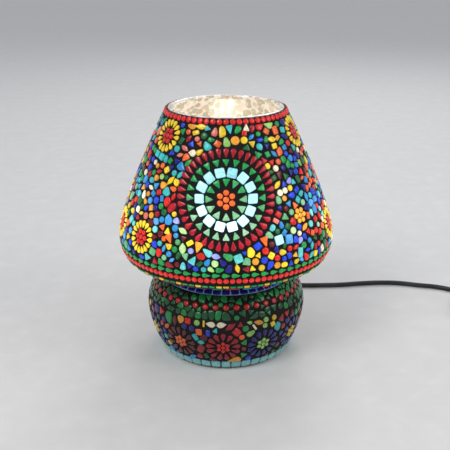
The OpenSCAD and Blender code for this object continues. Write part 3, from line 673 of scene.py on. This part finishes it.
class Field:
    """Loose pieces that fill a band of the wall and leave out its circles (s, azimuth, radius)."""

    def __init__(self, low, high, spacing, circles, seed):
        self.low, self.high, self.spacing, self.circles = low, high, spacing, circles
        self.rng = random.Random(seed)
        self.seeds = []
        self.scatter()
        for _ in range(2):
            self.relax()

    def point(self, s, az):
        r = radius_at(s)
        return (r * math.sin(az), -r * math.cos(az), Z[min(int(s * 10), len(Z) - 1)])

    def blocked(self, s, az, gap):
        """Whether a place is nearer than gap to one of the circles."""
        for cs, ca, cr in self.circles:
            if abs(s - cs) < cr + gap:
                du = ((az - ca + math.pi) % TAU - math.pi) * 0.5 * (radius_at(s) + radius_at(cs))
                if du * du + (s - cs) ** 2 < (cr + gap) ** 2:
                    return True
        return False

    def scatter(self):
        """Random centres, each with its own reach, none closer than their two reaches."""
        cell = self.spacing * 1.6
        grid = {}
        band = list(np.arange(self.low, self.high, 0.5))
        weights = [radius_at(s) for s in band]
        area = TAU * sum(weights) * 0.5
        tries = int(area / self.spacing ** 2 * 30)
        for s in self.rng.choices(band, weights, k=tries):
            s += self.rng.uniform(-0.25, 0.25)
            az = self.rng.uniform(-math.pi, math.pi)
            reach = self.spacing * (0.5 if self.rng.random() < 0.72 else 0.66)
            if not (self.low + 0.42 * self.spacing < s < self.high - 0.42 * self.spacing):
                continue
            if self.blocked(s, az, 0.42 * self.spacing):
                continue
            p = self.point(s, az)
            key = tuple(int(c // cell) for c in p)
            near = [q for dx in (-1, 0, 1) for dy in (-1, 0, 1) for dz in (-1, 0, 1)
                    for q in grid.get((key[0] + dx, key[1] + dy, key[2] + dz), ())]
            if all(math.dist(p, q) > reach + other for q, other in near):
                grid.setdefault(key, []).append((p, reach))
                self.seeds.append([s, az, reach])

    def tree(self):
        tree = KDTree(len(self.seeds))
        for i, (s, az, _) in enumerate(self.seeds):
            tree.insert(self.point(s, az), i)
        tree.balance()
        return tree

    def cell(self, tree, i, gap):
        """The space of one piece as an outline round its centre, gap mm inside its borders."""
        s0, az0, reach = self.seeds[i]
        r0 = radius_at(s0)
        limits = [(0, 1, s0 - self.low), (0, -1, self.high - s0)]
        for _, j, dist in tree.find_n(self.point(s0, az0), 14):
            if j == i:
                continue
            s1, az1, other = self.seeds[j]
            du = ((az1 - az0 + math.pi) % TAU - math.pi) * 0.5 * (r0 + radius_at(s1))
            dv = s0 - s1
            d = math.hypot(du, dv)
            limits.append((du / d, dv / d, (d * d + reach ** 2 - other ** 2) / (2 * d)))
        for cs, ca, cr in self.circles:
            if abs(s0 - cs) < cr + 2.5 * self.spacing:
                du = ((ca - az0 + math.pi) % TAU - math.pi) * 0.5 * (r0 + radius_at(cs))
                dv = s0 - cs
                d = math.hypot(du, dv)
                if d < cr + 2.5 * self.spacing:
                    limits.append((du / d, dv / d, d - cr))
        big = 1.5 * self.spacing
        outline = disc(big, 12)
        limits = [(a, b, c - gap) for a, b, c in limits]
        for limit in limits:
            outline = clip(outline, limit)
            if len(outline) < 3:
                return None, limits
        return outline, limits

    def relax(self):
        """Moves each centre towards the middle of its space."""
        tree = self.tree()
        for i, (s0, az0, reach) in enumerate(list(self.seeds)):
            outline, _ = self.cell(tree, i, 0)
            if outline:
                u, v = middle(outline)
                self.seeds[i] = [s0 - v * 0.8, az0 + 0.8 * u / radius_at(s0), reach]

    def shapes(self, gap, mix):
        """One outline per centre, in a mix of kinds {kind: weight}."""
        tree = self.tree()
        kinds, weights = list(mix), list(mix.values())
        for i, (s0, az0, _) in enumerate(self.seeds):
            outline, limits = self.cell(tree, i, gap)
            if not outline or area_of(outline) < MIN_AREA:
                continue
            u, v = middle(outline)
            kind = self.rng.choices(kinds, weights)[0]
            inner = [(a, b, c - a * u - b * v) for a, b, c in limits]
            room = min(c for _, _, c in inner)
            shape = None
            if kind == "disc":
                r = min(room, 3.1)
                if r > 1.5:
                    shape = disc(r * 1.03, 12)
            elif kind != "pebble":
                shape = best_fit(TEMPLATES[kind], inner, self.rng)
            if shape is None:
                shape = soften(moved(outline, -u, -v), 2, 0.24)
            else:
                for limit in inner:
                    shape = clip(shape, limit)
                    if len(shape) < 3:
                        break
            if len(shape) >= 3 and area_of(shape) > MIN_AREA:
                form = Pieces.ROUND if kind in ("disc", "drop") else Pieces.FLAT
                yield s0, az0, moved(shape, u, v), form


def clip(outline, limit):
    """The part of a convex outline where a*x + b*y <= c."""
    a, b, c = limit
    result = []
    for p, q in zip(outline, outline[1:] + outline[:1]):
        dp, dq = a * p[0] + b * p[1] - c, a * q[0] + b * q[1] - c
        if dp <= 0:
            result.append(p)
        if (dp < 0) != (dq < 0) and dp != dq:
            t = dp / (dp - dq)
            result.append((p[0] + (q[0] - p[0]) * t, p[1] + (q[1] - p[1]) * t))
    return result


def area_of(outline):
    return 0.5 * sum(p[0] * q[1] - q[0] * p[1] for p, q in zip(outline, outline[1:] + outline[:1]))


def middle(outline):
    """The centre of area."""
    total = area_of(outline)
    if abs(total) < 1e-6:
        return outline[0]
    u = v = 0
    for p, q in zip(outline, outline[1:] + outline[:1]):
        w = p[0] * q[1] - q[0] * p[1]
        u += (p[0] + q[0]) * w
        v += (p[1] + q[1]) * w
    return u / (6 * total), v / (6 * total)


TEMPLATES = {"square": square(2, 1.8), "triangle": triangle(2.1, 2), "drop": teardrop(1.5, 2.3),
             "almond": almond(1.25, 2.6), "slab": square(1.5, 2.3)}


def best_fit(template, limits, rng):
    """The largest turned copy of a template that stays inside its limits, very slightly trimmed."""
    best, chosen = 0, None
    start = rng.uniform(0, TAU)
    for i in range(10):
        shape = turned(template, start + TAU * i / 10)
        size = min(c / max(0.05, max(a * x + b * y for x, y in shape)) for a, b, c in limits)
        if size > best:
            best, chosen = size, shape
    if best <= 0.8:
        return None
    best = min(best * 1.1, 4.4)
    return [(x * best, y * best) for x, y in chosen]


MIX = {"disc": 30, "triangle": 17, "square": 10, "drop": 12, "almond": 8, "slab": 6, "pebble": 17}
COLLAR_MIX = {"pebble": 6, "triangle": 3, "disc": 1}

# one mesh for each glass, so that all its loose pieces share one material
loose = {name: Pieces() for name in glass}


def fill(field, weight, lit, gap=0.34, only=None, mix=MIX):
    """Cuts each piece of a field from a glass chosen by its weight, or from only {name: weight}."""
    chosen = only or {name: values[weight] for name, values in FAMILIES.items()}
    for s0, az, outline, form in field.shapes(gap, mix):
        name = field.rng.choices(list(chosen), list(chosen.values()))[0]
        loose[name].add(s0, az, outline, lit * field.rng.uniform(0.75, 1.3), form)


# pieces that stand out by size or paleness: (arc length, azimuth, glass, outline, turn), the
# azimuth and the turn in degrees
STRIKING = [
    (8, -21, "yellow", almond(5, 11), 90), (21, 38, "yellow", almond(5, 10), 80),
    (14, 44, "orange", square(6, 7.5), 5), (31, -25, "cream", leaf(6.4, 7.6), 90),
    (8, 17, "cream", triangle(6.5, 7), 175), (10, 3, "turquoise", triangle(7, 8.5), 10),
    (19, 7, "amber", disc(3.9), 0), (19, 14, "yellow", disc(3.2), 0),
    (46, 35, "cream", disc(2.9), 0), (67, 34, "cream", disc(3), 0), (66, 38, "cream", disc(2.8), 0),
    (57, -37, "yellow", almond(4.6, 10), -35), (106, 28, "ice", square(8, 8.2), 8),
    (107, 34, "sky", square(7.6, 8.2), -4), (121, 40, "turquoise", square(5.6, 9), -8),
    (110, -14, "amber", triangle(8.6, 10.5), -12), (106, -30, "orange", triangle(8, 9), 30),
    (112, -22, "lime", almond(6.4, 10.5), 5), (97, -23, "lime", almond(5, 9.5), 65),
    (118, 6, "turquoise", square(7.4, 7.6), 20), (106, 20, "orange", triangle(8, 9.5), 12),
    (116, -5, "lavender", almond(5, 8.6), 80), (120, -16, "turquoise", triangle(8, 9), 150),
    (237, -10.7, "cream", leaf(5.8, 9.6), 82), (237, -3.1, "cream", leaf(5.8, 9.6), -82),
    (237, -20.5, "lime", disc(2.9), 0), (237, -15.5, "yellow", square(1.9, 6.2), 0),
    (246, -19, "orange", square(6.2, 6.6), 4), (257, -18, "turquoise", almond(5, 7.4), 85),
    (246, -12.5, "royal", square(4, 6.6), 0), (242, -7, "turquoise", triangle(5.5, 5.5), 160),
    (241, 20, "cream", square(2.2, 6.4), 32), (236, 29, "lime", disc(2.7), 0),
    (241.5, 28, "lime", disc(2.6), 0), (242, 34.5, "yellow", square(5, 5), 20),
    (236, 16.5, "lime", leaf(3.6, 5.6), 80), (250, 11, "orange", disc(2.8), 0),
    (236.5, 10, "crimson", triangle(6.4, 5.6), 180), (237, -27.5, "red", square(6, 6), 0)]
striking_circles = []
for s0, degrees, name, outline, turn in STRIKING:
    az = math.radians(degrees)
    loose[name].add(s0, az, turned(outline, math.radians(turn)), 1.15 if s0 < SHADE_END else 2.2)
    striking_circles.append((s0, az, 1.04 * math.sqrt(area_of(outline) / math.pi)))

sun_circles = [(s0, az, 15.1) for s0, az in SUNS]
shade_circles = [(MANDALA_S, az, 43.9) for az in MANDALA_AZ] + [(*DOT_FLOWER, 7.5)]
shade_circles += sun_circles + striking_circles
shade_field = Field(RIM_S + 3.1, DROP_S - 2.5, 5.15, shade_circles, 11)
fill(shade_field, ON_SHADE, 1.0)
under_field = Field(EDGE_S + 2.1, SHADE_END - 2, 7.0, [], 12)
fill(under_field, ON_BOWL, 1.0)
dot_circles = [(DOT_S, TAU * i / DOT_COUNT, 2.9) for i in range(DOT_COUNT)]
green_field = Field(BLUE_S + 3.0, DOT_S + 12, 4.8, dot_circles, 13)
fill(green_field, ON_BOWL, 1.0, 0.16, {"green": 2, "forest": 3}, COLLAR_MIX)
flower_circles = [(FLOWER_S, az, 16.5) for az in FLOWER_AZ] + [(FLOWER_S + 9.5, math.pi, 8.6)]
flower_circles += striking_circles
bowl_field = Field(DOT_S + 12, FOOT_S - 4.3, 5.8, flower_circles, 14)
fill(bowl_field, ON_BOWL, 1.2)
for name, made in loose.items():
    if made.count:
        made.make("loose_" + name, glass[name], SLOTS[name])


# ---------------------------------------------------------------- turned parts
def lathe(name, profile, material, slot, *replaced, segments=128, lit=None):
    """profile: (radius, height) in mm, anticlockwise with the material on its left."""
    count = len(profile)
    az = np.linspace(0, TAU, segments, endpoint=False)
    r = np.array([p[0] for p in profile])[:, None]
    z = np.array([p[1] for p in profile])[:, None]
    x, y = r * np.sin(az), -r * np.cos(az)
    verts = np.stack([x, y, np.broadcast_to(z, x.shape)], -1).reshape(-1, 3) * MM
    faces = []
    for i in range(count):
        j = (i + 1) % count
        for k in range(segments):
            m = (k + 1) % segments
            faces.append((i * segments + k, i * segments + m, j * segments + m, j * segments + k))
    mesh = bpy.data.meshes.new(name)
    mesh.from_pydata(verts.tolist(), [], faces)
    if lit is not None:
        layer = mesh.attributes.new("lit", "FLOAT", "POINT")
        layer.data.foreach_set("value", [lit(*p) for p in profile for _ in range(segments)])
    mesh.shade_smooth()
    mesh.set_sharp_from_angle(angle=math.radians(40))
    finish_piece(name, mesh, material, slot, *replaced)


def layer(depth, s_from, s_to, step=1.5):
    """Points of the wall at a depth below its outer face."""
    count = max(2, int(abs(s_to - s_from) / step))
    points = []
    for i in range(count + 1):
        s = s_from + (s_to - s_from) * i / count
        r, z = np.interp(s, S, R), np.interp(s, S, Z)
        nr, nz = np.interp(s, S, NR), np.interp(s, S, NZ)
        points.append((float(r - nr * depth), float(z - nz * depth)))
    return points


def glow_inside(r, z):
    """The inner face glows most beside the bulb."""
    d = math.hypot(r, z - BULB_Z)
    if z < 80:
        return 0.05
    return min(0.6, 0.3 + 0.16 * (80 / max(d, 40)) ** 2)


lip = [(48.5, 233.2), (48.6, 234.2), (49.2, 234.8), (50.6, 235), (52, 234.8), (52.6, 234.2)]
body_profile = (layer(GLASS_OUT, 2, WALL_END - 2.2)
                + [(58.4, 1.5), (47, 1.5), (45, 3.2), (42.5, 7), (40, 8), (5.2, 8), (5.2, 11),
                   (39, 11), (43, 9.8), (47.5, 6.2), (52, 5.4), (56, 6.9)]
                + layer(GLASS_IN, WALL_END - 12.5, 1.5) + lip)
lathe("blown_body", body_profile[::-1], blown_glass_material(), "blown_glass", "glass_shade",
      "glass_edge", "glass_under", "glass_bowl_top", "glass_bowl", "glass_foot", lit=glow_inside)
grout = grout_material()
grout_profile = ([(52.5, 234), (53, 234.45)] + layer(GROUT, 1.0, SHADE_END, 1.2)
                 + layer(GLASS_OUT - 0.1, SHADE_END, 2.0, 4))
lathe("grout_of_shade", grout_profile[::-1], grout, "grout", "shade_grout")
bowl_profile = (layer(GROUT, SHADE_END + 0.05, WALL_END - 1.2, 1.2)
                + layer(GLASS_OUT - 0.1, WALL_END - 2.4, SHADE_END + 0.05, 4))
lathe("grout_of_bowl", bowl_profile[::-1], grout, "grout", "bowl_grout")
# pale blue band of the shoulder, with a faint painted glow
pale_line = plain_material("pale_band_painted_glow", srgb(120, 150, 200), 0.5, glow=0.15)
band = layer(0.82, BLUE_S - 3.1, BLUE_S + 3.1, 0.8) + layer(1.3, BLUE_S + 3.1, BLUE_S - 3.1, 0.8)
lathe("shoulder_pale_line", band[::-1], pale_line, "blue_glass")

# ---------------------------------------------------------------- CAD nodes that stay
steel = drawn_material("zinc_steel", (0.62, 0.62, 0.6), 0.34)
brass = drawn_material("brass", (0.78, 0.56, 0.24), 0.26)
nickel = drawn_material("nickel", (0.72, 0.7, 0.66), 0.18)
black = plain_material("moulded_black", srgb(24, 24, 26), 0.45, grain=1400, bump=0.12)
grey = plain_material("rocker_grey", srgb(150, 150, 152), 0.38, grain=1400)
rubber = plain_material("black_rubber", srgb(22, 22, 22), 0.7, grain=1800, bump=0.2)
felt = plain_material("pressed_felt", srgb(44, 44, 50), 0.95, wear=0.5, grain=2600, bump=0.8)
porcelain = plain_material("porcelain", srgb(236, 232, 220), 0.2, wear=0.05, coat=0.6)
bulb_clear = plain_material("bulb_clear", srgb(255, 248, 234), 0.12, wear=0.02, glow=2.6, alpha=0.2)
bulb_black = plain_material("bulb_base_black", srgb(14, 14, 16), 0.2, coat=0.5)
filament = plain_material("filament", srgb(255, 242, 214), 0.5, glow=20.0)
KEPT = {"felt_ring": felt, "stem_tube": steel, "stem_nuts": brass, "steel_washers": steel,
        "rubber_washers": rubber, "spacer_tube": brass, "holder_cap": black,
        "holder_sleeve": black, "holder_insert": porcelain, "thread_shell": brass,
        "centre_contact": brass, "side_contact": brass, "terminal_screws": steel,
        "cord_grommet": rubber, "strain_relief": rubber, "inner_cord": cord_black,
        "cord_tie": rubber, "switch_base": black, "switch_cover": black, "switch_screws": steel,
        "switch_contacts": brass, "rocker": grey, "plug_body": black, "plug_pins": nickel,
        "plug_relief": black, "bulb_glass": bulb_clear, "bulb_cap": nickel,
        "bulb_insulator": bulb_black, "bulb_contact": nickel, "bulb_mount": bulb_clear,
        "bulb_filaments": filament}
for name, material in KEPT.items():
    for material_slot in nodes[name].material_slots:
        material_slot.material = material
for name in ("switch_base", "switch_cover", "plug_body", "rocker", "cord_tie", "stem_nuts"):
    bevel = nodes[name].modifiers.new("edge", "BEVEL")
    bevel.width = 0.5 * MM
    bevel.segments = 3
    bevel.limit_method = "ANGLE"
    bevel.angle_limit = math.radians(35)
    bevel.use_clamp_overlap = True

# ---------------------------------------------------------------- studio
FLOOR = 9  # half its side, in metres
floor_mesh = bpy.data.meshes.new("floor")
floor_mesh.from_pydata([(-FLOOR, -FLOOR, 0), (FLOOR, -FLOOR, 0), (FLOOR, FLOOR, 0), (-FLOOR, FLOOR, 0)],
                       [], [(0, 1, 2, 3)])
floor = bpy.data.objects.new("floor", floor_mesh)
scene.collection.objects.link(floor)
floor_mesh.materials.append(plain_material("pale_floor", (0.72, 0.71, 0.69), 0.6, wear=0.03,
                                           grain=30, bump=0.0))
world = bpy.data.worlds.new("studio")
scene.world = world
world.use_nodes = True
background = world.node_tree.nodes["Background"]
background.inputs["Color"].default_value = (0.9, 0.93, 1.0, 1)
background.inputs["Strength"].default_value = 0.55


def soft_light(name, place, target, size, power):
    """A round lamp of the studio, in metres and watts."""
    data = bpy.data.lights.new(name, "AREA")
    data.shape = "DISK"
    data.size = size
    data.energy = power
    light = bpy.data.objects.new(name, data)
    scene.collection.objects.link(light)
    light.location = place
    light.rotation_euler = (Vector(target) - Vector(place)).to_track_quat("-Z", "Y").to_euler()


soft_light("key", (-0.9, -1.1, 1.5), (0, 0, 0.1), 0.9, 14)
soft_light("fill", (1.3, -0.6, 0.9), (0, 0, 0.1), 1.0, 6)
soft_light("back", (0.3, 1.4, 1.3), (0, 0, 0.1), 0.9, 7)
